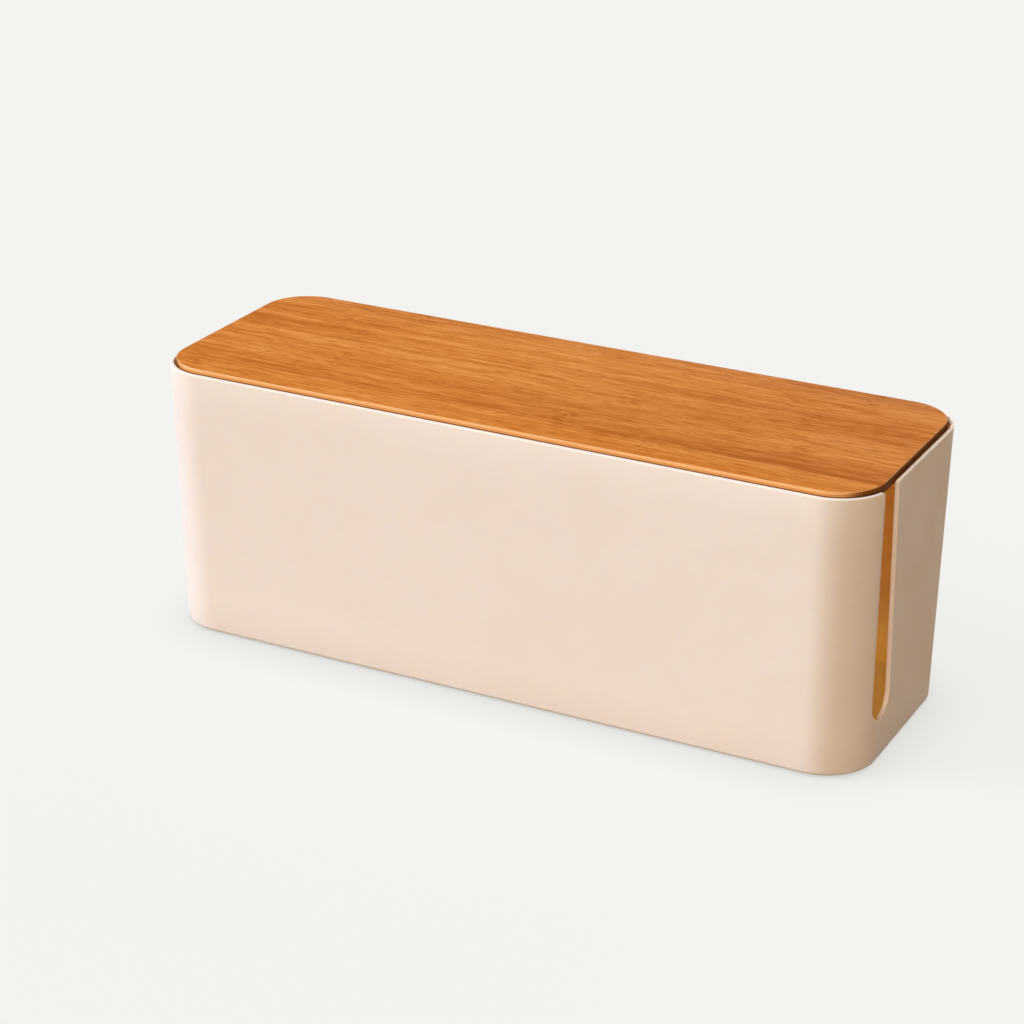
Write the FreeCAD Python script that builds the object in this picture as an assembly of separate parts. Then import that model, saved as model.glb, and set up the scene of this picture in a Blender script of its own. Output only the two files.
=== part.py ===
import FreeCAD, Part
import math
import os

from FreeCAD import Vector

# Cable management box: a moulded tub with a cable slot in each end and a loose laminated lid.
# Millimetres. X runs along the box, the long front wall faces -Y, and Z is up from the
# surface that the feet stand on. The origin is under the middle of the box.

# Tub, measured over its outside at the rim
tub_length = 400.0
tub_width = 139.0
tub_height = 148.4        # underside to rim
tub_corner = 28.0         # upright corners, seen from above
end_draft = 1.6           # each end wall leans in by this much from rim to underside
side_draft = 4.8          # each long wall leans in by this much
wall = 2.2
tub_floor = 2.6
base_round = 2.0          # outer edge round the underside
floor_round = 2.0         # inner edge round the floor
rim_round = 0.5           # both edges of the rim
rim_round_limit_share = 0.3   # of the wall, so that the two rounded edges never meet

# Cable slots, open at the rim
slot_inset = 21.0         # front wall's outer face to the slot's front edge
slot_mouth = 16.2         # width at the rim
slot_foot = 22.2          # width at the rounded end
slot_sill = 23.0          # underside of the tub to the slot's lowest point
slot_land = 0.8           # short flat at that lowest point
slot_mouth_round = 1.5    # corners where the slot leaves the rim

# Ribs inside the walls, which stand on the floor and carry the lid
rib_depth = 5.0
rib_thickness = 2.4
side_rib_shares = (-0.32, 0.0, 0.32)     # along the tub's length
end_rib_share = 0.15                     # behind the middle, across the tub's width

# Lid board
lid_proud = 2.3           # its top stands above the rim
lid_clearance = 1.1       # all round, between the lid and the wall
face_thickness = 1.6      # the board is three plies
core_thickness = 1.8
back_thickness = 1.6
strip_count = 7           # strips across each outer ply
lid_arris = 0.5           # rounding of the board's outer edges

# Feet
foot_diameter = 16.0
foot_proud = 1.0          # the feet hold the tub this far off the surface
foot_recess = 1.2         # depth of their seats in the floor
foot_clearance = 0.2      # round each foot in its seat
foot_inset = 24.0         # outline of the underside to the foot's centre
foot_round = 0.5

overrun = 5.0             # how far a cut runs past what it cuts
touching = 0.02           # points nearer than this are the same height

# Worked out from the sizes above
tub_base = foot_proud
rim = tub_base + tub_height
floor_top = tub_base + tub_floor
lid_thickness = face_thickness + core_thickness + back_thickness
lid_top = rim + lid_proud
ledge = lid_top - lid_thickness
lid_length = tub_length - 2 * (wall + lid_clearance)
lid_width = tub_width - 2 * (wall + lid_clearance)
lid_corner = tub_corner - wall - lid_clearance
strip_width = lid_width / strip_count


def rounded_wire(corners):
    # A closed outline of straight runs and tangent arcs, from (point, radius) pairs.
    bends = []
    for index, (corner, radius) in enumerate(corners):
        before = (corners[index - 1][0] - corner).normalize()
        after = (corners[(index + 1) % len(corners)][0] - corner).normalize()
        half_angle = before.getAngle(after) / 2
        inward = (before + after).normalize()
        reach = radius / math.tan(half_angle)
        start = corner + before * reach
        middle = corner + inward * (radius / math.sin(half_angle) - radius)
        bends.append((radius, start, middle, corner + after * reach))
    edges = []
    for index, (radius, start, middle, end) in enumerate(bends):
        if radius:
            edges.append(Part.Arc(start, middle, end).toShape())
        next_start = bends[(index + 1) % len(bends)][1]
        edges.append(Part.makeLine(end, next_start))
    return Part.Wire(edges)


def rounded_rectangle(half_length, half_width, radius, z):
    signs = ((-1, -1), (1, -1), (1, 1), (-1, 1))
    return rounded_wire([(Vector(sx * half_length, sy * half_width, z), radius) for sx, sy in signs])


def lean(z):
    # Share of the draft left at a height: 1 at the underside, 0 at the rim.
    return (rim - z) / tub_height


def tub_section(z, inset):
    half_length = tub_length / 2 - end_draft * lean(z) - inset
    half_width = tub_width / 2 - side_draft * lean(z) - inset
    return rounded_rectangle(half_length, half_width, tub_corner - inset, z)


def tub_loft(low, high, inset):
    return Part.makeLoft([tub_section(low, inset), tub_section(high, inset)], True, True)


def edges_at(shape, z):
    # The edges that lie wholly in the plane at this height.
    boxes = [(edge, edge.BoundBox) for edge in shape.Edges]
    return [edge for edge, box in boxes if max(abs(box.ZMin - z), abs(box.ZMax - z)) < touching]


def prism(wire, sweep):
    return Part.Face(wire).extrude(sweep)


def slot_cutter():
    # The slot's outline in the end wall, pushed through the wall along X. Its front edge
    # keeps slot_inset from the leaning front wall, and its back edge opens downwards.
    def front_edge(z):
        return -tub_width / 2 + side_draft * lean(z) + slot_inset

    sill = tub_base + slot_sill
    x = tub_length / 2 - tub_corner
    side = slot_mouth_round + overrun
    end_round = (slot_foot - slot_land) / 2
    mouth_front = front_edge(rim)
    mouth_back = mouth_front + slot_mouth
    outline = [
        (Vector(x, mouth_front - side, rim + overrun), 0),
        (Vector(x, mouth_front - side, rim), 0),
        (Vector(x, mouth_front, rim), slot_mouth_round),
        (Vector(x, front_edge(sill), sill), end_round),
        (Vector(x, front_edge(sill) + slot_foot, sill), end_round),
        (Vector(x, mouth_back, rim), slot_mouth_round),
        (Vector(x, mouth_back + side, rim), 0),
        (Vector(x, mouth_back + side, rim + overrun), 0),
    ]
    return prism(rounded_wire(outline), Vector(tub_corner + overrun, 0, 0))


def mirrored_ends(shape):
    return [shape, shape.mirror(Vector(0, 0, 0), Vector(1, 0, 0))]


def lid_ribs():
    bite = wall / 2
    foot_of_rib = floor_top - bite
    band = tub_loft(foot_of_rib, ledge, wall - bite).cut(tub_loft(foot_of_rib, ledge, wall + rib_depth))
    slabs = []
    for share in side_rib_shares:
        x = share * tub_length - rib_thickness / 2
        slabs.append(Part.makeBox(rib_thickness, tub_width, ledge, Vector(x, -tub_width / 2, 0)))
    y = end_rib_share * tub_width - rib_thickness / 2
    slabs.append(Part.makeBox(tub_length, rib_thickness, ledge, Vector(-tub_length / 2, y, 0)))
    return [solid for slab in slabs for solid in band.common(slab).Solids]


def foot_places():
    x = tub_length / 2 - end_draft - foot_inset
    y = tub_width / 2 - side_draft - foot_inset
    for depth_name, sy in (("front", -1), ("back", 1)):
        for side_name, sx in (("left", -1), ("right", 1)):
            yield f"foot_{depth_name}_{side_name}", Vector(sx * x, sy * y, 0)


def tub_shell():
    outside = tub_loft(tub_base, rim, 0)
    outside = outside.makeFillet(base_round, edges_at(outside, tub_base))
    inside = tub_loft(floor_top, rim + overrun, wall)
    inside = inside.makeFillet(floor_round, edges_at(inside, floor_top))
    shell = outside.cut(inside)
    shell = shell.makeFillet(min(rim_round, rim_round_limit_share * wall), edges_at(shell, rim))
    shell = shell.fuse(lid_ribs())
    seat_radius = foot_diameter / 2 + foot_clearance
    seats = [Part.makeCylinder(seat_radius, foot_recess + overrun, place + Vector(0, 0, tub_base - overrun))
             for _, place in foot_places()]
    return shell.cut(seats + mirrored_ends(slot_cutter())).removeSplitter()


def foot(place):
    height = foot_proud + foot_recess
    pad = Part.makeCylinder(foot_diameter / 2, height, place)
    return pad.makeFillet(foot_round, edges_at(pad, place.z))


def lid_ply(low, high):
    outline = rounded_rectangle(lid_length / 2, lid_width / 2, lid_corner, low)
    return prism(outline, Vector(0, 0, high - low))


def strips(ply, name):
    # The ply cut lengthwise into its strips, numbered from the front.
    box = ply.BoundBox
    for index in range(strip_count):
        corner = Vector(-lid_length / 2, -lid_width / 2 + index * strip_width, box.ZMin)
        slab = Part.makeBox(lid_length, strip_width, box.ZLength, corner)
        yield f"{name}_{index + 1}", ply.common(slab).Solids[0]


def lid_parts():
    core_low = ledge + back_thickness
    core_high = core_low + core_thickness
    face = lid_ply(core_high, lid_top)
    face = face.makeFillet(lid_arris, edges_at(face, lid_top))
    back = lid_ply(ledge, core_low)
    back = back.makeFillet(lid_arris, edges_at(back, ledge))
    yield from strips(face, "face_strip")
    yield "core_ply", lid_ply(core_low, core_high)
    yield from strips(back, "back_strip")


def all_parts():
    yield "tub_shell", tub_shell()
    for name, place in foot_places():
        yield name, foot(place)
    yield from lid_parts()


os.makedirs("parts", exist_ok=True)
for name, shape in all_parts():
    shape.exportStep(f"parts/{name}.step")
    print(name, len(shape.Solids), "solid", round(shape.Volume), "mm3", "valid" if shape.isValid() else "invalid")
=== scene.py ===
import bpy
import bmesh
import math
from mathutils import Matrix, Vector


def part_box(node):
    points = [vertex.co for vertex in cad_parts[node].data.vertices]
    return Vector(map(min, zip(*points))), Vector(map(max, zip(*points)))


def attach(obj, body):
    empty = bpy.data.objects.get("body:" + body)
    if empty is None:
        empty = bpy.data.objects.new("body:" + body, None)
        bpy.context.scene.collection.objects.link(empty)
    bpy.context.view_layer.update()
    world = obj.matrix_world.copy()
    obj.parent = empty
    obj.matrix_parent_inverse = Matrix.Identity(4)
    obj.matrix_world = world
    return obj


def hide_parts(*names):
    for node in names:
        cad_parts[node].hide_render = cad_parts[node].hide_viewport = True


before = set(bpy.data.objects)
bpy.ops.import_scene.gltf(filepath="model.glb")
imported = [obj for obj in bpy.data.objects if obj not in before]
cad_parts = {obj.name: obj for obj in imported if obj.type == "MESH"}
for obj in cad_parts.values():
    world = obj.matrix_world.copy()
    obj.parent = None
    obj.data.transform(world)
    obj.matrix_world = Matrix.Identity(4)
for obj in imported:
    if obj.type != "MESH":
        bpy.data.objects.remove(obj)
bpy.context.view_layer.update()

# Metres. X runs along the box, the long front wall faces -Y, Z is up.
tubLow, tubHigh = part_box("tub_shell")
coreLow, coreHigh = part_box("core_ply")    # the lid's full outline, because none of its edges is rounded

camera = {
    "place": (0.5821, -1.1717, 0.6397),
    "azimuth": 27.2805,     # degrees round from the front
    "elevation": 23.127,
    "roll": 0.34,
    "lens": 95.84,
    "sensor": 36.0,
    "reach": 50.0,
}

# azimuth and elevation in degrees, azimuth round from the front; spread is the lamp's size across
lamps = {
    "key": {"azimuth": -62.0, "elevation": 33.0, "spread": 28.0,
            "strength": 4.65, "colour": (0.69, 0.82, 1.05)},
    "fill": {"azimuth": 22.0, "elevation": 22.0, "spread": 40.0,
             "strength": 1.88, "colour": (0.945, 0.87, 0.715)},
    "back": {"azimuth": 180.0, "elevation": 14.0, "spread": 40.0,
             "strength": 1.6, "colour": (0.96, 0.88, 0.70)},
}

# Light that comes in through the walls and turns round inside the box. The renderer lets a wall shine
# through for the first bounce only, so a weak lamp low in the box, facing down, stands in for the rest.
insideLight = {
    "height": 0.032,
    "margin": 0.006,        # between the ribs and the lamp's edge
    "power": 0.031,
    "colour": (0.81, 0.80, 0.10),
}

room = {
    "light": (0.195, 0.128, 0.078),
    "paper": (0.905, 0.896, 0.863),
    "paperLit": (0.83, 0.82, 0.76),    # in full light this comes out as the paper colour
    "paperShade": 0.09,     # how much of the shadow the paper shows
    "paperBounce": (0.19, 0.115, 0.066),
    "paperSize": 14.0,
    "contactReach": 0.045,  # painted soft shadow where the box stands
    "contactShade": 0.27,
    "contactSamples": 8,
    "bounces": 12,          # light that comes in through a wall turns round inside the box
}

tub = {
    "wall": 0.0022,
    "floor": 0.0026,
    "corner": 0.028,
    "endDraft": 0.0016,     # how far each end leans in from rim to underside
    "sideDraft": 0.0048,
    "baseRound": 0.002,
    "floorRound": 0.002,
    "rimRound": 0.0006,
    "cornerSteps": 20,
    "roundSteps": 5,
    "heightSteps": 8,
    "longSteps": 16,
    "shortSteps": 6,
    "edgeRound": 0.0004,    # slot and seat edges
    "edgeSteps": 3,
    "edgeAngle": 50.0,      # edges that turn by more than this are rounded
    "levelShare": 0.1,      # of the floor's rounding, still counted as floor
    "levelFacing": 0.9,
    "edgeFrom": 0.1,        # of the wall: a face less deep than this is an outside one
    "insideFrom": 0.8,      # a deeper one is an inside one, and between the two it is an edge
}

slot = {
    "inset": 0.021,         # from the leaning front wall
    "mouth": 0.0162,
    "foot": 0.0222,
    "sill": 0.023,
    "land": 0.0008,
    "mouthRound": 0.0015,
    "steps": 14,
}

rib = {
    "thickness": 0.0024,
    "depth": 0.005,
    "bite": 0.0011,         # how far a rib reaches into the wall and the floor
    "sideCount": 3,
    "sideSpacing": 0.32,    # of the tub's length
    "endShare": 0.15,       # of its width, behind the middle
}

foot = {
    "recess": 0.0012,
    "clearance": 0.0002,
    "round": 0.0005,
    "roundSteps": 4,
    "topRound": 0.0002,
    "innerRing": 0.35,      # of the radius
    "sides": 48,
    "sharpAngle": 40.0,
    "domeRadius": 0.0006,
    "domeHeight": 0.00025,
    "domeDetail": 2,
    "ringStep": 0.0019,
    "rings": 3,
    "domesPerRing": 6,      # on the first ring, twice as many on the second
}

lid = {
    "strips": 7,
    "arris": 0.0005,
    "cornerSteps": 20,
    "roundSteps": 4,
}

overrun = 0.005             # how far a cut runs past what it cuts
flatSupport = 0.003         # a column this near each corner keeps the flat runs flat in shading
sharpAngle = 32.0           # degrees, edges that turn by more stay crisp
samePoint = 1e-6            # points nearer than this are merged
onSeam = 1e-7               # points nearer than this to a cut lie on it


def put(tree, kind, inputs=None, **settings):
    # An input is a value, a socket to link, or a list of sockets
    node = tree.nodes.new(kind)
    for name, value in settings.items():
        setattr(node, name, value)
    for name, value in (inputs or {}).items():
        if isinstance(value, bpy.types.NodeSocket):
            tree.links.new(value, node.inputs[name])
        elif isinstance(value, list):
            for source in value:
                tree.links.new(source, node.inputs[name])
        else:
            node.inputs[name].default_value = value
    return node


def calc(tree, operation, a, b=0.0, clamp=False):
    return put(tree, "ShaderNodeMath", {0: a, 1: b}, operation=operation, use_clamp=clamp).outputs[0]


def blendColour(tree, share, a, b):
    return put(tree, "ShaderNodeMix", {0: share, 6: a, 7: b}, data_type="RGBA", blend_type="MIX").outputs[2]


def between(tree, value, low, high, outLow=0.0, outHigh=1.0):
    inputs = {"Value": value, "From Min": low, "From Max": high, "To Min": outLow, "To Max": outHigh}
    return put(tree, "ShaderNodeMapRange", inputs, interpolation_type="SMOOTHSTEP").outputs[0]


def grainNoise(tree, place, stretch, detail=2.0, rough=0.5):
    # Noise whose cells are 1/stretch metres along X, Y and Z
    moved = put(tree, "ShaderNodeMapping", {"Vector": place, "Scale": stretch}).outputs[0]
    inputs = {"Vector": moved, "Scale": 1.0, "Detail": detail, "Roughness": rough}
    return put(tree, "ShaderNodeTexNoise", inputs).outputs[0]


def evenNoise(tree, place, cells, detail=2.0):
    return grainNoise(tree, place, (cells, cells, cells), detail)


def rgba(colour):
    return (*colour, 1.0)


def newMaterial(name):
    material = bpy.data.materials.new(name)
    material.use_nodes = True
    tree = material.node_tree
    tree.nodes.clear()
    out = put(tree, "ShaderNodeOutputMaterial")
    place = put(tree, "ShaderNodeTexCoord").outputs["Object"]
    return material, tree, out, place


def finishShader(tree, out, colour, roughness, height, depth):
    bump = put(tree, "ShaderNodeBump", {"Height": height, "Distance": depth, "Strength": 1.0})
    inputs = {"Base Color": colour, "Roughness": roughness, "Normal": bump.outputs[0]}
    shader = put(tree, "ShaderNodeBsdfPrincipled", inputs)
    tree.links.new(shader.outputs[0], out.inputs["Surface"])
    return shader


noiseSpan = (0.3, 0.7)      # where nearly all of a noise's values lie

# One look for each surface of the tub, in the order of its material slots. glow is the subsurface
# weight, because the thin walls let some light through. fade is where it goes, in depths below the
# rim, so that no glow shows in the gap round the lid.
# The inside, floor and edge creams are lighter and warmer than the outside one: painted light, standing in
# for light that turns round inside the box and for the glow along the rim and slot edges.
plastic = {
    "outside": {"name": "tubPlastic", "cream": (0.82, 0.69, 0.585), "deep": (0.805, 0.67, 0.555),
                "reach": (0.0062, 0.0040, 0.0018), "glow": 0.35, "rough": (0.48, 0.58), "shine": 0.35},
    "inside": {"name": "tubInsidePlastic", "cream": (0.97, 0.715, 0.58), "deep": (0.955, 0.695, 0.55),
               "reach": (0.0049, 0.0036, 0.0016), "glow": 1.0, "fade": (0.012, 0.004),
               "rough": (0.48, 0.58), "shine": 0.35},
    "floor": {"name": "tubFloorPlastic", "cream": (0.98, 0.80, 0.60), "deep": (0.97, 0.78, 0.57),
              "reach": (0.0, 0.0, 0.0), "glow": 0.0, "rough": (0.36, 0.44), "shine": 0.6},
    "underside": {"name": "tubUndersidePlastic", "cream": (0.80, 0.68, 0.58), "deep": (0.785, 0.66, 0.55),
                  "reach": (0.0, 0.0, 0.0), "glow": 0.0, "rough": (0.48, 0.58), "shine": 0.35},
    "edge": {"name": "tubEdgePlastic", "cream": (0.94, 0.75, 0.63), "deep": (0.92, 0.73, 0.60),
             "reach": (0.0062, 0.0040, 0.0018), "glow": 0.45, "rough": (0.48, 0.58), "shine": 0.35},
}

# The moulding's grain, in cells to the metre
moulding = {
    "cloud": 9.0,
    "blotch": 38.0,
    "speck": 1400.0,
    "cloudShare": 0.6,
    "blotchShare": 0.4,
    "toneSpan": (0.35, 0.65),
    "speckDepth": 0.00003,
}


def tubPlastic(shades):
    material, tree, out, place = newMaterial(shades["name"])
    cloud = evenNoise(tree, place, moulding["cloud"], detail=3.0)
    blotch = evenNoise(tree, place, moulding["blotch"])
    speck = evenNoise(tree, place, moulding["speck"], detail=1.0)
    tone = calc(tree, "ADD", calc(tree, "MULTIPLY", cloud, moulding["cloudShare"]),
                calc(tree, "MULTIPLY", blotch, moulding["blotchShare"]))
    share = between(tree, tone, *moulding["toneSpan"])
    colour = blendColour(tree, share, rgba(shades["cream"]), rgba(shades["deep"]))
    roughness = between(tree, blotch, *noiseSpan, *shades["rough"])
    shader = finishShader(tree, out, colour, roughness, speck, moulding["speckDepth"])
    shader.inputs["Specular IOR Level"].default_value = shades["shine"]
    shader.inputs["Subsurface Weight"].default_value = shades["glow"]
    if "fade" in shades:
        up = put(tree, "ShaderNodeSeparateXYZ", {0: place}).outputs["Z"]
        low, high = (tubHigh.z - depth for depth in shades["fade"])
        glow = between(tree, up, low, high, shades["glow"], 0.0)
        tree.links.new(glow, shader.inputs["Subsurface Weight"])
    shader.inputs["Subsurface Radius"].default_value = shades["reach"]
    shader.inputs["Subsurface Scale"].default_value = 1.0
    return material


bamboo = {
    # The cut ends' colours are end grain darkened further with painted shade; the inner ply's is near black
    # for the shadowed gap.
    "face": {"light": (0.675, 0.257, 0.053), "mid": (0.558, 0.179, 0.024), "dark": (0.40, 0.10, 0.005),
             "longEdge": (0.84, 0.38, 0.12), "endGrainAndShade": (0.14, 0.042, 0.001)},
    "inner": {"light": (0.82, 0.46, 0.17), "mid": (0.72, 0.37, 0.115), "dark": (0.55, 0.25, 0.06),
              "longEdge": (0.70, 0.32, 0.095), "endGrainAndShade": (0.05, 0.024, 0.006)},
    "toneStops": (0.05, 0.5, 0.95),    # where dark, mid and light lie in the range of tones
    "toneShares": {"bands": 1.3, "streaks": 1.35, "fibres": 0.9, "luck": 0.16},
    "fleckSpan": (0.58, 0.70),
    "fleckShare": 0.55,
    "fleckRise": -0.6,      # a fleck is a shallow pit
    "dotSpan": (0.35, 0.65),           # fibre ends, on the edges of the board
    "dotShare": 0.25,
    # Painted highlight along the rounded arris
    "arris": (0.69, 0.39, 0.17),
    "arrisSpread": 3.6,     # how far the painted highlight runs round the rounded edge
    "arrisAtEnds": 0.25,    # how much of it the cut ends show
    "edgeOil": 0.5,         # a little gloss on the long edges and the arris
    "oilRough": 0.3,
    "glue": (0.32, 0.11, 0.022),
    "glueLine": 0.0002,
    "glueShare": 0.8,
    "gapShade": (0.16, 0.06, 0.018),    # painted shade on the edge where the board sits down in the gap of the tub
    "gapStart": 0.0001,     # below the rim
    "gapReach": 0.00015,    # above it
    "gapShare": 0.85,
    "nodeSpacing": 0.26,
    "nodeStart": 4.0,       # keeps the count of nodes above zero
    "nodeDrift": 0.008,     # how crooked a node's line is
    "nodeLine": (0.001, 0.006),        # shares of the spacing
    "nodePatch": (0.01, 0.05),
    "nodeDark": 0.12,
    "dashMiddle": 0.52,
    "dashShare": 2.0,
    "rough": (0.70, 0.58),
    "shine": 0.05,
    "relief": 0.00005,
}

# Cells to the metre along, across and up. shift is the most that a strip's own grain is moved, in metres.
grain = {
    "shift": (3.0, 0.5, 0.5),
    "bands": (5, 60, 60),
    "streaks": (34, 420, 420),
    "fibres": (110, 1300, 1300),
    "flecks": (95, 620, 620),
    "drift": (0.01, 260, 260),
    "dashes": (150, 800, 800),
    "dots": (60, 1300, 1300),
}

# How far a surface turns to an axis before it takes on that side's look, from none of it to all of it
facingSpan = {"ends": (0.4, 0.8), "front": (0.3, 0.8), "flat": (0.2, 0.6), "unoiled": (0.75, 0.97)}


def stripLuck(tree, across, seed):
    # Random values for each strip, counted from the front
    width = (coreHigh.y - coreLow.y) / lid["strips"]
    count = calc(tree, "FLOOR", calc(tree, "DIVIDE", calc(tree, "SUBTRACT", across, coreLow.y), width))
    number = calc(tree, "ADD", count, seed)
    return put(tree, "ShaderNodeTexWhiteNoise", {"W": number}, noise_dimensions="1D").outputs


def nodeMarks(tree, along, moved, luck):
    # Where the rings of the stem crossed a strip: a thin line, and the patch round it
    spacing = bamboo["nodeSpacing"]
    drift = grainNoise(tree, moved, grain["drift"])
    run = calc(tree, "ADD", along, calc(tree, "MULTIPLY", luck, spacing))
    run = calc(tree, "ADD", run, calc(tree, "MULTIPLY", drift, bamboo["nodeDrift"]))
    run = calc(tree, "ADD", run, bamboo["nodeStart"])
    phase = calc(tree, "FRACT", calc(tree, "DIVIDE", run, spacing))
    away = calc(tree, "ABSOLUTE", calc(tree, "SUBTRACT", phase, 0.5))
    line = between(tree, away, *bamboo["nodeLine"], 1.0, 0.0)
    return line, between(tree, away, *bamboo["nodePatch"], 1.0, 0.0)


def bambooTone(tree, along, moved, noises):
    # From 0, the darkest, to 1, the lightest
    tone = 0.5
    for kind, strength in bamboo["toneShares"].items():
        offset = calc(tree, "SUBTRACT", noises[kind], 0.5)
        tone = calc(tree, "ADD", tone, calc(tree, "MULTIPLY", offset, strength))
    line, patch = nodeMarks(tree, along, moved, noises["luck"])
    dashes = grainNoise(tree, moved, grain["dashes"], rough=0.7)
    dashes = calc(tree, "SUBTRACT", dashes, bamboo["dashMiddle"])
    dashes = calc(tree, "MULTIPLY", dashes, calc(tree, "MULTIPLY", patch, bamboo["dashShare"]))
    tone = calc(tree, "ADD", tone, dashes)
    return calc(tree, "SUBTRACT", tone, calc(tree, "MULTIPLY", line, bamboo["nodeDark"]), clamp=True)


def toneColour(tree, tone, shades):
    ramp = put(tree, "ShaderNodeValToRGB", {0: tone})
    stops, (dark, mid, light) = ramp.color_ramp.elements, bamboo["toneStops"]
    stops[0].position, stops[0].color = dark, rgba(shades["dark"])
    stops[1].position, stops[1].color = light, rgba(shades["light"])
    stops.new(mid).color = rgba(shades["mid"])
    return ramp.outputs[0]


def bambooWood(name, shades, seed, glueHeights):
    # Grain along X; every strip has a tone and a shift of its own
    material, tree, out, place = newMaterial(name)
    parts = put(tree, "ShaderNodeSeparateXYZ", {0: place}).outputs
    luck = stripLuck(tree, parts["Y"], seed)
    inputs = {0: luck["Color"], 1: grain["shift"]}
    shift = put(tree, "ShaderNodeVectorMath", inputs, operation="MULTIPLY").outputs[0]
    moved = put(tree, "ShaderNodeVectorMath", {0: place, 1: shift}, operation="ADD").outputs[0]
    bands = grainNoise(tree, moved, grain["bands"])
    streaks = grainNoise(tree, moved, grain["streaks"], rough=0.6)
    fibres = grainNoise(tree, moved, grain["fibres"])
    flecks = grainNoise(tree, moved, grain["flecks"], detail=1.0)
    noises = {"bands": bands, "streaks": streaks, "fibres": fibres, "luck": luck["Value"]}
    wood = toneColour(tree, bambooTone(tree, parts["X"], moved, noises), shades)
    share = between(tree, flecks, *bamboo["fleckSpan"], 0.0, bamboo["fleckShare"])
    colour = blendColour(tree, share, wood, rgba(shades["dark"]))
    # Long edges are pale; cut ends are dark, partly end grain and partly painted shade; the rounded arris
    # is lighter, a painted highlight
    normal = put(tree, "ShaderNodeNewGeometry").outputs["True Normal"]
    facing = put(tree, "ShaderNodeSeparateXYZ", {0: normal}).outputs
    ends = between(tree, calc(tree, "ABSOLUTE", facing["X"]), *facingSpan["ends"])
    notEnd = calc(tree, "SUBTRACT", 1.0, ends)
    front = between(tree, calc(tree, "ABSOLUTE", facing["Y"]), *facingSpan["front"])
    up = calc(tree, "ABSOLUTE", facing["Z"])
    side = between(tree, up, *facingSpan["flat"], 1.0, 0.0)
    dots = grainNoise(tree, place, grain["dots"], detail=1.0)
    dots = between(tree, dots, *bamboo["dotSpan"], 0.0, bamboo["dotShare"])
    longEdge = blendColour(tree, dots, rgba(shades["longEdge"]), wood)
    endGrainAndShade = blendColour(tree, dots, rgba(shades["endGrainAndShade"]), rgba(bamboo["glue"]))
    colour = blendColour(tree, front, colour, longEdge)
    colour = blendColour(tree, ends, colour, endGrainAndShade)
    # The rounded arris is painted lighter as a highlight, with less of it on the cut ends
    turning = calc(tree, "MULTIPLY", up, calc(tree, "SUBTRACT", 1.0, up))
    arrisHighlight = calc(tree, "MULTIPLY", turning, bamboo["arrisSpread"], clamp=True)
    arrisHighlight = calc(tree, "MULTIPLY", arrisHighlight, between(tree, notEnd, 0.0, 1.0, bamboo["arrisAtEnds"], 1.0))
    colour = blendColour(tree, arrisHighlight, colour, rgba(bamboo["arris"]))
    # Painted shade on the side of the board just above and below the rim, where it sits down in the gap
    # round the lid
    low, high = tubHigh.z - bamboo["gapStart"], tubHigh.z + bamboo["gapReach"]
    gapShadeMask = between(tree, parts["Z"], low, high, bamboo["gapShare"], 0.0)
    colour = blendColour(tree, calc(tree, "MULTIPLY", gapShadeMask, side), colour, rgba(bamboo["gapShade"]))
    for glueHeight in glueHeights:
        near = calc(tree, "ABSOLUTE", calc(tree, "SUBTRACT", parts["Z"], glueHeight))
        line = between(tree, near, bamboo["glueLine"] * 0.5, bamboo["glueLine"], bamboo["glueShare"], 0.0)
        colour = blendColour(tree, calc(tree, "MULTIPLY", line, side), colour, rgba(bamboo["glue"]))
    roughness = between(tree, streaks, *noiseSpan, *bamboo["rough"])
    height = calc(tree, "ADD", fibres, calc(tree, "MULTIPLY", flecks, bamboo["fleckRise"]))
    shader = finishShader(tree, out, colour, roughness, height, bamboo["relief"])
    shader.inputs["Specular IOR Level"].default_value = bamboo["shine"]
    oiled = between(tree, up, *facingSpan["unoiled"], bamboo["edgeOil"], 0.0)
    tree.links.new(calc(tree, "MULTIPLY", oiled, notEnd), shader.inputs["Coat Weight"])
    shader.inputs["Coat Roughness"].default_value = bamboo["oilRough"]
    return material


rubber = {
    "dark": (0.018, 0.017, 0.016),
    "dusty": (0.05, 0.047, 0.043),
    "dust": 220.0,          # cells to the metre
    "dustSpan": (0.4, 0.7),
    "pits": 2600.0,
    "pitDepth": 0.00004,
    "rough": (0.62, 0.78),
}


def footRubber():
    material, tree, out, place = newMaterial("footRubber")
    dust = evenNoise(tree, place, rubber["dust"], detail=3.0)
    pits = evenNoise(tree, place, rubber["pits"], detail=1.0)
    share = between(tree, dust, *rubber["dustSpan"])
    colour = blendColour(tree, share, rgba(rubber["dark"]), rgba(rubber["dusty"]))
    roughness = between(tree, dust, *noiseSpan, *rubber["rough"])
    finishShader(tree, out, colour, roughness, pits, rubber["pitDepth"])
    return material


def addObject(name, data):
    thing = bpy.data.objects.new(name, data)
    bpy.context.scene.collection.objects.link(thing)
    return thing


def smooth(mesh, angle):
    for polygon in mesh.polygons:
        polygon.use_smooth = True
    mesh.set_sharp_from_angle(angle=math.radians(angle))


def meshObject(name, mesh, material):
    smooth(mesh, sharpAngle)
    if material:
        mesh.materials.clear()
        mesh.materials.append(material)
    return addObject(name, mesh)


def runShares(steps, length):
    # Places along a straight run, with one close to each end
    near = min(flatSupport / length, 0.5 / steps)
    return [near] + [step / steps for step in range(1, steps)] + [1.0 - near]


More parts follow.
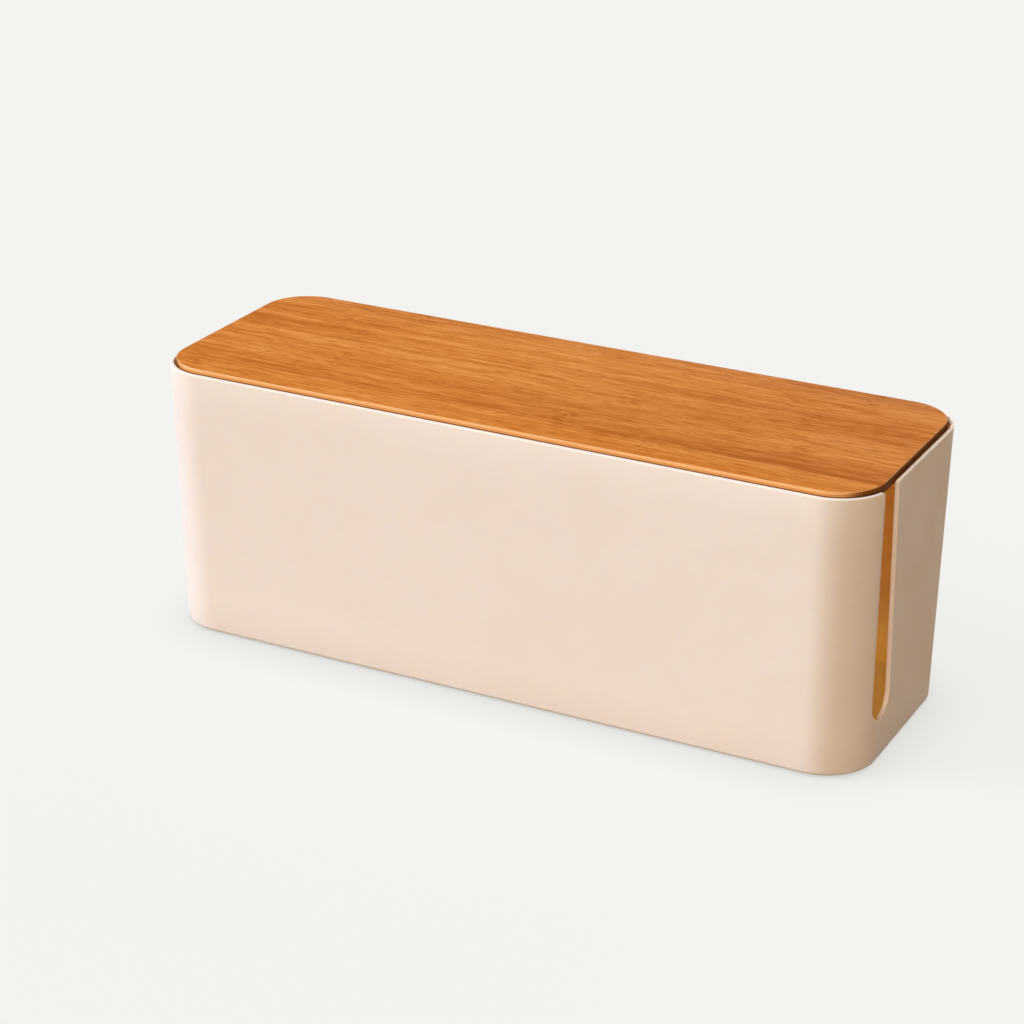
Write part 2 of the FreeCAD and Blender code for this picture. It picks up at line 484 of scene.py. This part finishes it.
def outline(halfLength, halfWidth, radius, z, cornerSteps, longSteps=1, shortSteps=1):
    # A rounded rectangle, anticlockwise from the front left, with the same number of points at any size
    points = []
    corners = ((-1, -1, 180), (1, -1, 270), (1, 1, 0), (-1, 1, 90))
    for index, (sx, sy, start) in enumerate(corners):
        centre = Vector((sx * (halfLength - radius), sy * (halfWidth - radius), z))
        for step in range(cornerSteps + 1):
            angle = math.radians(start + 90.0 * step / cornerSteps)
            points.append(centre + radius * Vector((math.cos(angle), math.sin(angle), 0)))
        run = 2 * (halfLength - radius) if index % 2 == 0 else 2 * (halfWidth - radius)
        steps = longSteps if index % 2 == 0 else shortSteps
        direction = Vector(((1, 0, 0), (0, 1, 0), (-1, 0, 0), (0, -1, 0))[index])
        begin = points[-1]
        points += [begin + direction * run * share for share in runShares(steps, run)]
    return points


def ringPoints(centre, radius, z, sides):
    turns = [2 * math.pi * k / sides for k in range(sides)]
    return [Vector((centre.x + radius * math.cos(a), centre.y + radius * math.sin(a), z)) for a in turns]


def skin(rings):
    # A closed solid from rings of points, capped at the first and the last
    build = bmesh.new()
    made = [[build.verts.new(point) for point in ring] for ring in rings]
    for lower, upper in zip(made, made[1:]):
        for i in range(len(lower)):
            j = (i + 1) % len(lower)
            build.faces.new((lower[i], lower[j], upper[j], upper[i]))
    build.faces.new(list(reversed(made[0])))
    build.faces.new(made[-1])
    return build


def toMesh(build, name):
    mesh = bpy.data.meshes.new(name)
    build.to_mesh(mesh)
    build.free()
    return mesh


def lean(z):
    # 1 at the underside of the tub, 0 at its rim
    return (tubHigh.z - z) / (tubHigh.z - tubLow.z)


def tubRing(z, inset):
    halfLength = (tubHigh.x - tubLow.x) / 2 - tub["endDraft"] * lean(z) - inset
    halfWidth = (tubHigh.y - tubLow.y) / 2 - tub["sideDraft"] * lean(z) - inset
    return outline(halfLength, halfWidth, tub["corner"] - inset, z, tub["cornerSteps"],
                   tub["longSteps"], tub["shortSteps"])


def quarter(radius, steps, rising):
    # (how far in, how far from the tangent plane) round a quarter circle
    angles = [math.pi / 2 * step / steps for step in range(steps + 1)]
    pairs = [(radius * (1 - math.cos(a)), radius * (1 - math.sin(a))) for a in angles]
    return pairs if rising else pairs[::-1]


def tubBody():
    # Up the outside from the underside, over the rim, and down the inside to the floor
    base, rim, floor = tubLow.z, tubHigh.z, tubLow.z + tub["floor"]
    wall, rimRound, roundSteps = tub["wall"], tub["rimRound"], tub["roundSteps"]
    rings = [tubRing(base + up, inset) for inset, up in quarter(tub["baseRound"], roundSteps, False)]
    bottom, top = base + tub["baseRound"], rim - rimRound
    for step in range(1, tub["heightSteps"]):
        rings.append(tubRing(bottom + (top - bottom) * step / tub["heightSteps"], 0))
    rings += [tubRing(rim - down, inset) for inset, down in quarter(rimRound, roundSteps, True)]
    rings += [tubRing(rim - down, wall - inset) for inset, down in quarter(rimRound, roundSteps, False)]
    bottom = floor + tub["floorRound"]
    for step in range(tub["heightSteps"] - 1, 0, -1):
        rings.append(tubRing(bottom + (top - bottom) * step / tub["heightSteps"], wall))
    floorRound = quarter(tub["floorRound"], roundSteps, True)
    rings += [tubRing(floor + up, wall + inset) for inset, up in floorRound]
    return skin(rings)


def roundedCorners(corners, steps):
    # (point, radius) pairs in a plane, turned into an outline with tangent arcs
    points = []
    for index, (corner, radius) in enumerate(corners):
        if not radius:
            points.append(corner)
            continue
        before = (corners[index - 1][0] - corner).normalized()
        after = (corners[(index + 1) % len(corners)][0] - corner).normalized()
        half = before.angle(after) / 2
        middle = corner + (before + after).normalized() * radius / math.sin(half)
        start = corner + before * radius / math.tan(half)
        end = corner + after * radius / math.tan(half)
        for step in range(steps + 1):
            points.append(middle + radius * (start - middle).slerp(end - middle, step / steps))
    return points


def slotCutter(build, side):
    base, rim = tubLow.z, tubHigh.z

    def frontEdge(z):
        return tubLow.y + tub["sideDraft"] * lean(z) + slot["inset"]

    sill = base + slot["sill"]
    flare = slot["mouthRound"] + overrun
    endRound = (slot["foot"] - slot["land"]) / 2
    mouthFront, mouthBack = frontEdge(rim), frontEdge(rim) + slot["mouth"]
    inner, outer = tubHigh.x - tub["corner"], tubHigh.x + overrun
    corners = [
        (Vector((inner, mouthFront - flare, rim + overrun)), 0),
        (Vector((inner, mouthFront - flare, rim)), 0),
        (Vector((inner, mouthFront, rim)), slot["mouthRound"]),
        (Vector((inner, frontEdge(sill), sill)), endRound),
        (Vector((inner, frontEdge(sill) + slot["foot"], sill)), endRound),
        (Vector((inner, mouthBack, rim)), slot["mouthRound"]),
        (Vector((inner, mouthBack + flare, rim)), 0),
        (Vector((inner, mouthBack + flare, rim + overrun)), 0),
    ]
    loop = roundedCorners(corners, slot["steps"])
    near = [build.verts.new((side * p.x, p.y, p.z)) for p in loop]
    far = [build.verts.new((side * outer, p.y, p.z)) for p in loop]
    for i in range(len(loop)):
        j = (i + 1) % len(loop)
        build.faces.new((near[i], near[j], far[j], far[i]))
    build.faces.new(near)
    build.faces.new(far)


def footPlaces():
    for name, node in (("footFrontLeft", "foot_front_left"), ("footFrontRight", "foot_front_right"),
                       ("footBackLeft", "foot_back_left"), ("footBackRight", "foot_back_right")):
        low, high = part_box(node)
        yield name, node, (low + high) / 2, (high.x - low.x) / 2, low.z, high.z


def disc(build, centre, radius, low, high, sides):
    under = [build.verts.new(point) for point in ringPoints(centre, radius, low, sides)]
    over = [build.verts.new(point) for point in ringPoints(centre, radius, high, sides)]
    for i in range(sides):
        j = (i + 1) % sides
        build.faces.new((under[i], under[j], over[j], over[i]))
    build.faces.new(list(reversed(under)))
    build.faces.new(over)


def applied(piece):
    # The evaluated shape as a plain mesh
    graph = bpy.context.evaluated_depsgraph_get()
    shown = piece.evaluated_get(graph)
    return bpy.data.meshes.new_from_object(shown, preserve_all_data_layers=True, depsgraph=graph)


socketKinds = {Vector: "NodeSocketVector", int: "NodeSocketInt", float: "NodeSocketFloat"}


def sizeTree(name, sizes):
    # A Geometry Nodes tree with one named input for each size
    tree = bpy.data.node_groups.new(name, "GeometryNodeTree")
    tree.interface.new_socket("Geometry", in_out="INPUT", socket_type="NodeSocketGeometry")
    for label, value in sizes.items():
        tree.interface.new_socket(label, in_out="INPUT", socket_type=socketKinds[type(value)])
    tree.interface.new_socket("Geometry", in_out="OUTPUT", socket_type="NodeSocketGeometry")
    return tree, put(tree, "NodeGroupInput").outputs


def endTree(tree, geometry, material):
    real = put(tree, "GeometryNodeRealizeInstances", {0: geometry})
    coated = put(tree, "GeometryNodeSetMaterial", {"Geometry": real.outputs[0], "Material": material})
    put(tree, "NodeGroupOutput", {0: coated.outputs[0]})


def runTree(piece, tree, sizes):
    # The tree's result as a plain mesh, with the modifier gone again
    grow = piece.modifiers.new("grow", "NODES")
    grow.node_group = tree
    for socket in tree.interface.items_tree:
        if socket.in_out == "INPUT" and socket.name in sizes:
            grow[socket.identifier] = sizes[socket.name]
    mesh = applied(piece)
    piece.modifiers.clear()
    piece.data = mesh


def pillar(tree, width, depth, base, sweep):
    # An upright bar, a rectangle swept from its base along a leaning line
    inputs = {"Width": width, "Height": depth}
    rectangle = put(tree, "GeometryNodeCurvePrimitiveQuadrilateral", inputs).outputs[0]
    face = put(tree, "GeometryNodeFillCurve", {"Curve": rectangle}, mode="NGONS").outputs[0]
    inputs = {"Mesh": face, "Offset": sweep, "Individual": False}
    raised = put(tree, "GeometryNodeExtrudeMesh", inputs, mode="FACES").outputs[0]
    under = put(tree, "GeometryNodeFlipFaces", {0: face}).outputs[0]
    both = put(tree, "GeometryNodeJoinGeometry", {0: [raised, under]}).outputs[0]
    solid = put(tree, "GeometryNodeMergeByDistance", {"Geometry": both, "Distance": samePoint}).outputs[0]
    return put(tree, "GeometryNodeTransform", {"Geometry": solid, "Translation": base}).outputs[0]


def ribTree(material, sizes):
    tree, given = sizeTree("lidRibs", sizes)
    thick, depth, base = given["Thickness"], given["Depth"], given["Foot"]

    def vector(x, y, z):
        return put(tree, "ShaderNodeCombineXYZ", {"X": x, "Y": y, "Z": z}).outputs[0]

    def times(value, factor):
        return calc(tree, "MULTIPLY", value, factor)

    # One side rib, in a row along the front, and the same row turned round for the back
    sweep = vector(0.0, times(given["Side Lean"], -1.0), given["Height"])
    one = pillar(tree, thick, depth, vector(0.0, times(given["Side Place"], -1.0), base), sweep)
    rowLength = times(calc(tree, "SUBTRACT", given["Side Count"], 1.0), given["Side Spacing"])
    start = vector(times(rowLength, -0.5), 0.0, 0.0)
    step = vector(given["Side Spacing"], 0.0, 0.0)
    inputs = {"Count": given["Side Count"], "Start Location": start, "Offset": step}
    row = put(tree, "GeometryNodeMeshLine", inputs, mode="OFFSET").outputs[0]
    ribs = []
    for turn in (0.0, math.pi):
        inputs = {"Points": row, "Instance": one, "Rotation": (0.0, 0.0, turn)}
        ribs.append(put(tree, "GeometryNodeInstanceOnPoints", inputs).outputs[0])
    for side in (-1.0, 1.0):
        sweep = vector(times(given["End Lean"], side), 0.0, given["Height"])
        place = vector(times(given["End Place"], side), given["End Offset"], base)
        ribs.append(pillar(tree, depth, thick, place, sweep))
    endTree(tree, put(tree, "GeometryNodeJoinGeometry", {0: ribs}).outputs[0], material)
    return tree


def ribSizes():
    # The ribs bite into the wall and the floor, and end where the lid rests
    base, top = tubLow.z + tub["floor"] - rib["bite"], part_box("back_strip_1")[0].z
    length, width = tubHigh.x - tubLow.x, tubHigh.y - tubLow.y
    depth = rib["depth"] + rib["bite"]

    def places(half, draft):
        # The middle of a rib at its base and at its top, from the middle of the tub
        return [half - draft * lean(z) - tub["wall"] + rib["bite"] - depth / 2 for z in (base, top)]

    sideBase, sideTop = places(width / 2, tub["sideDraft"])
    endBase, endTop = places(length / 2, tub["endDraft"])
    return {
        "Thickness": rib["thickness"], "Depth": depth, "Foot": base, "Height": top - base,
        "Side Place": sideBase, "Side Lean": sideTop - sideBase,
        "Side Count": rib["sideCount"], "Side Spacing": rib["sideSpacing"] * length,
        "End Place": endBase, "End Lean": endTop - endBase, "End Offset": rib["endShare"] * width,
    }


def boolean(piece, other, operation):
    cut = piece.modifiers.new(operation, "BOOLEAN")
    cut.operation, cut.solver, cut.object = operation, "EXACT", other


def depthInWall(point):
    # How far a point is in from the tub's outer face
    radius = tub["corner"]
    x = abs(point.x) - ((tubHigh.x - tubLow.x) / 2 - tub["endDraft"] * lean(point.z) - radius)
    y = abs(point.y) - ((tubHigh.y - tubLow.y) / 2 - tub["sideDraft"] * lean(point.z) - radius)
    return radius - math.hypot(max(x, 0.0), max(y, 0.0)) - min(max(x, y), 0.0)


def surfaceOf(polygon):
    # Which of the tub's surfaces a face lies in
    place, up = polygon.center, polygon.normal.z
    levelTop = tubLow.z + tub["floor"] + tub["floorRound"] * tub["levelShare"]
    if place.z < levelTop and abs(up) > tub["levelFacing"]:
        return "floor" if up > 0 else "underside"
    if depthInWall(place) > tub["wall"] * tub["insideFrom"]:
        return "inside"
    if depthInWall(place) > tub["wall"] * tub["edgeFrom"] and place.z > tubLow.z + tub["baseRound"]:
        return "edge"
    return "outside"


def tubCutter():
    # Both slots and the seats of the feet
    build = bmesh.new()
    for side in (-1, 1):
        slotCutter(build, side)
    for _, _, centre, radius, low, _ in footPlaces():
        seatTop = tubLow.z + foot["recess"]
        disc(build, centre, radius + foot["clearance"], low - overrun, seatTop, foot["sides"])
    bmesh.ops.recalc_face_normals(build, faces=build.faces)
    return meshObject("tubCutter", toMesh(build, "tubCutter"), None)


def makeTub():
    materials = {surface: tubPlastic(shades) for surface, shades in plastic.items()}
    body = meshObject("tubWalls", toMesh(tubBody(), "tubWalls"), materials["outside"])
    ribs = meshObject("lidRibs", bpy.data.meshes.new("lidRibs"), None)
    sizes = ribSizes()
    runTree(ribs, ribTree(materials["outside"], sizes), sizes)
    cutter = tubCutter()
    boolean(body, ribs, "UNION")
    boolean(body, cutter, "DIFFERENCE")
    soften = body.modifiers.new("soften", "BEVEL")
    soften.width, soften.segments = tub["edgeRound"], tub["edgeSteps"]
    soften.limit_method, soften.angle_limit = "ANGLE", math.radians(tub["edgeAngle"])
    soften.miter_outer = "MITER_ARC"
    mesh = applied(body)
    body.modifiers.clear()
    body.data = mesh
    for helper in (ribs, cutter):
        bpy.data.objects.remove(helper)
    mesh.materials.clear()
    for material in materials.values():
        mesh.materials.append(material)
    surfaces = list(materials)
    for polygon in mesh.polygons:
        polygon.material_index = surfaces.index(surfaceOf(polygon))
    smooth(mesh, sharpAngle)
    return body


def footPad(centre, radius, low, high):
    # Turned about its own axis, from the middle of the underside out and up
    sideRound, topRound, inner = foot["round"], foot["topRound"], foot["innerRing"] * radius
    rings = [(inner, low), (radius - sideRound, low)]
    for step in range(1, foot["roundSteps"] + 1):
        angle = math.pi / 2 * step / foot["roundSteps"]
        across, up = sideRound * (1 - math.sin(angle)), sideRound * (1 - math.cos(angle))
        rings.append((radius - across, low + up))
    rings += [(radius, high - topRound), (radius - topRound, high), (inner, high)]
    return skin([ringPoints(centre, r, z, foot["sides"]) for r, z in rings])


def gripTree(material):
    # Rings of small domes on the underside of a foot
    sizes = {"Centre": Vector(), "Dome Radius": 0.0, "Dome Height": 0.0, "Ring Step": 0.0,
             "Domes Per Ring": 1}
    tree, given = sizeTree("footGrip", sizes)
    inputs = {"Radius": 1.0, "Subdivisions": foot["domeDetail"]}
    dome = put(tree, "GeometryNodeMeshIcoSphere", inputs).outputs[0]
    inputs = {"X": given["Dome Radius"], "Y": given["Dome Radius"], "Z": given["Dome Height"]}
    flat = put(tree, "ShaderNodeCombineXYZ", inputs).outputs[0]
    dome = put(tree, "GeometryNodeTransform", {"Geometry": dome, "Scale": flat}).outputs[0]
    rings = []
    for ring in range(1, foot["rings"] + 1):
        radius = calc(tree, "MULTIPLY", given["Ring Step"], float(ring))
        count = calc(tree, "MULTIPLY", given["Domes Per Ring"], float(ring))
        circle = put(tree, "GeometryNodeMeshCircle", {"Vertices": count, "Radius": radius}).outputs[0]
        inputs = {"Points": circle, "Instance": dome}
        rings.append(put(tree, "GeometryNodeInstanceOnPoints", inputs).outputs[0])
    domes = put(tree, "GeometryNodeJoinGeometry", {0: rings}).outputs[0]
    inputs = {"Geometry": domes, "Translation": given["Centre"]}
    domes = put(tree, "GeometryNodeTransform", inputs).outputs[0]
    padAndDomes = put(tree, "GeometryNodeJoinGeometry", {0: [given["Geometry"], domes]}).outputs[0]
    endTree(tree, padAndDomes, material)
    return tree


def makeFeet(material):
    tree = gripTree(material)
    for name, node, centre, radius, low, high in footPlaces():
        under = low + foot["domeHeight"]
        pad = meshObject(name, toMesh(footPad(centre, radius, under, high), name), material)
        sizes = {"Centre": Vector((centre.x, centre.y, under)), "Dome Radius": foot["domeRadius"],
                 "Dome Height": foot["domeHeight"], "Ring Step": foot["ringStep"],
                 "Domes Per Ring": foot["domesPerRing"]}
        runTree(pad, tree, sizes)
        smooth(pad.data, foot["sharpAngle"])
        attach(pad, "tub")
        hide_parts(node)


def plyBoard(low, high, roundTop, roundBottom):
    halfLength, halfWidth = (coreHigh.x - coreLow.x) / 2, (coreHigh.y - coreLow.y) / 2
    corner = tub["corner"] - (tubHigh.x - coreHigh.x)
    rings = []

    def ring(z, inset):
        rings.append(outline(halfLength - inset, halfWidth - inset, corner - inset, z, lid["cornerSteps"]))

    if roundBottom:
        for inset, up in quarter(lid["arris"], lid["roundSteps"], False):
            ring(low + up, inset)
    else:
        ring(low, 0)
    if roundTop:
        for inset, down in quarter(lid["arris"], lid["roundSteps"], True):
            ring(high - down, inset)
    else:
        ring(high, 0)
    return skin(rings)


def cutStrip(low, high, roundTop, roundBottom, index):
    # One strip of a ply: the board sliced at its two seams and closed again
    build = plyBoard(low, high, roundTop, roundBottom)
    width = (coreHigh.y - coreLow.y) / lid["strips"]
    seams = []
    if index > 0:
        seams.append((coreLow.y + index * width, (0, -1, 0)))
    if index < lid["strips"] - 1:
        seams.append((coreLow.y + (index + 1) * width, (0, 1, 0)))
    for y, outward in seams:
        everything = build.verts[:] + build.edges[:] + build.faces[:]
        bmesh.ops.bisect_plane(build, geom=everything, dist=onSeam, plane_co=(0, y, 0),
                               plane_no=outward, clear_outer=True)
        rimEdges = [edge for edge in build.edges if edge.is_boundary]
        bmesh.ops.holes_fill(build, edges=rimEdges, sides=0)
    bmesh.ops.recalc_face_normals(build, faces=build.faces)
    return build


def makeStrips(prefix, node, material, roundTop):
    for index in range(lid["strips"]):
        cadName = f"{node}_{index + 1}"
        low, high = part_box(cadName)
        build = cutStrip(low.z, high.z, roundTop, not roundTop, index)
        name = f"{prefix}{index + 1}"
        piece = meshObject(name, toMesh(build, name), material)
        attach(piece, "lid")
        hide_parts(cadName)


def makeCore(material):
    build = plyBoard(coreLow.z, coreHigh.z, False, False)
    piece = meshObject("corePly", toMesh(build, "corePly"), material)
    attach(piece, "lid")
    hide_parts("core_ply")


def awayFromBox(azimuth, elevation):
    a, e = math.radians(azimuth), math.radians(elevation)
    return Vector((math.sin(a) * math.cos(e), -math.cos(a) * math.cos(e), math.sin(e)))


def makeCamera():
    data = bpy.data.cameras.new("camera")
    data.lens, data.sensor_width, data.clip_end = camera["lens"], camera["sensor"], camera["reach"]
    eye = addObject("camera", data)
    a, r = math.radians(camera["azimuth"]), math.radians(camera["roll"])
    back = awayFromBox(camera["azimuth"], camera["elevation"])
    right = Vector((math.cos(a), math.sin(a), 0))
    up = back.cross(right)
    turned = (right * math.cos(r) + up * math.sin(r), up * math.cos(r) - right * math.sin(r), back)
    eye.matrix_world = Matrix.Translation(camera["place"]) @ Matrix(turned).transposed().to_4x4()
    bpy.context.scene.camera = eye


def makeLamps():
    for name, lamp in lamps.items():
        data = bpy.data.lights.new(name, "SUN")
        data.energy, data.color = lamp["strength"], lamp["colour"]
        data.angle = math.radians(lamp["spread"])
        sun = addObject(name, data)
        sun.rotation_mode = "QUATERNION"
        sun.rotation_quaternion = awayFromBox(lamp["azimuth"], lamp["elevation"]).to_track_quat("Z", "Y")


def makeInsideLight():
    data = bpy.data.lights.new("insideLight", "AREA")
    data.shape, data.energy, data.color = "RECTANGLE", insideLight["power"], insideLight["colour"]
    gap = tub["wall"] + rib["depth"] + insideLight["margin"]
    data.size, data.size_y = tubHigh.x - tubLow.x - 2 * gap, tubHigh.y - tubLow.y - 2 * gap
    glow = addObject("insideLight", data)
    glow.location = (0, 0, insideLight["height"])
    glow.visible_camera = False
    glow.visible_glossy = False


def seenRays(tree):
    # 1 for camera, mirror and see-through rays, 0 for the rays that carry light to the object
    path = put(tree, "ShaderNodeLightPath").outputs
    seen = calc(tree, "ADD", path["Is Camera Ray"], path["Is Glossy Ray"])
    return calc(tree, "ADD", seen, path["Is Transmission Ray"], clamp=True)


def makeWorld():
    world = bpy.data.worlds.new("studio")
    bpy.context.scene.world = world
    world.use_nodes = True
    tree = world.node_tree
    tree.nodes.clear()
    lit = put(tree, "ShaderNodeBackground", {"Color": rgba(room["light"]), "Strength": 1.0})
    shown = put(tree, "ShaderNodeBackground", {"Color": rgba(room["paper"]), "Strength": 1.0})
    both = put(tree, "ShaderNodeMixShader", {0: seenRays(tree), 1: lit.outputs[0], 2: shown.outputs[0]})
    put(tree, "ShaderNodeOutputWorld", {"Surface": both.outputs[0]})


def makePaper():
    material, tree, out, _ = newMaterial("paper")
    shaded = put(tree, "ShaderNodeBsdfDiffuse", {"Color": rgba(room["paperLit"])}).outputs[0]
    # Painted contact shadow: the paper's plain colour darkens where ambient occlusion finds the box near
    inputs = {"Distance": room["contactReach"]}
    shut = put(tree, "ShaderNodeAmbientOcclusion", inputs, samples=room["contactSamples"]).outputs["AO"]
    glow = between(tree, shut, 0.0, 1.0, 1.0 - room["contactShade"], 1.0)
    plain = put(tree, "ShaderNodeEmission", {"Color": rgba(room["paper"]), "Strength": glow}).outputs[0]
    shown = put(tree, "ShaderNodeMixShader", {0: room["paperShade"], 1: plain, 2: shaded}).outputs[0]
    bounce = put(tree, "ShaderNodeBsdfDiffuse", {"Color": rgba(room["paperBounce"])}).outputs[0]
    both = put(tree, "ShaderNodeMixShader", {0: seenRays(tree), 1: bounce, 2: shown}).outputs[0]
    tree.links.new(both, out.inputs["Surface"])
    half = room["paperSize"] / 2
    build = bmesh.new()
    corners = ((-1, -1), (1, -1), (1, 1), (-1, 1))
    build.faces.new([build.verts.new((sx * half, sy * half, 0)) for sx, sy in corners])
    paper = meshObject("paper", toMesh(build, "paper"), material)


makeCamera()
makeLamps()
makeInsideLight()
makeWorld()
makePaper()
print("camera, light and paper")

tubPiece = makeTub()
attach(tubPiece, "tub")
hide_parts("tub_shell")
print("tub:", len(tubPiece.data.polygons), "faces")

makeFeet(footRubber())
print("feet")

faceWood = bambooWood("bambooFace", bamboo["face"], seed=3.0, glueHeights=[coreHigh.z])
coreWood = bambooWood("bambooCore", bamboo["inner"], seed=41.0, glueHeights=[coreHigh.z, coreLow.z])
backWood = bambooWood("bambooBack", bamboo["inner"], seed=77.0, glueHeights=[coreLow.z])
makeStrips("faceStrip", "face_strip", faceWood, True)
makeCore(coreWood)
makeStrips("backStrip", "back_strip", backWood, False)
print("lid")

scene = bpy.context.scene
scene.view_settings.view_transform = "Standard"
scene.cycles.diffuse_bounces = room["bounces"]
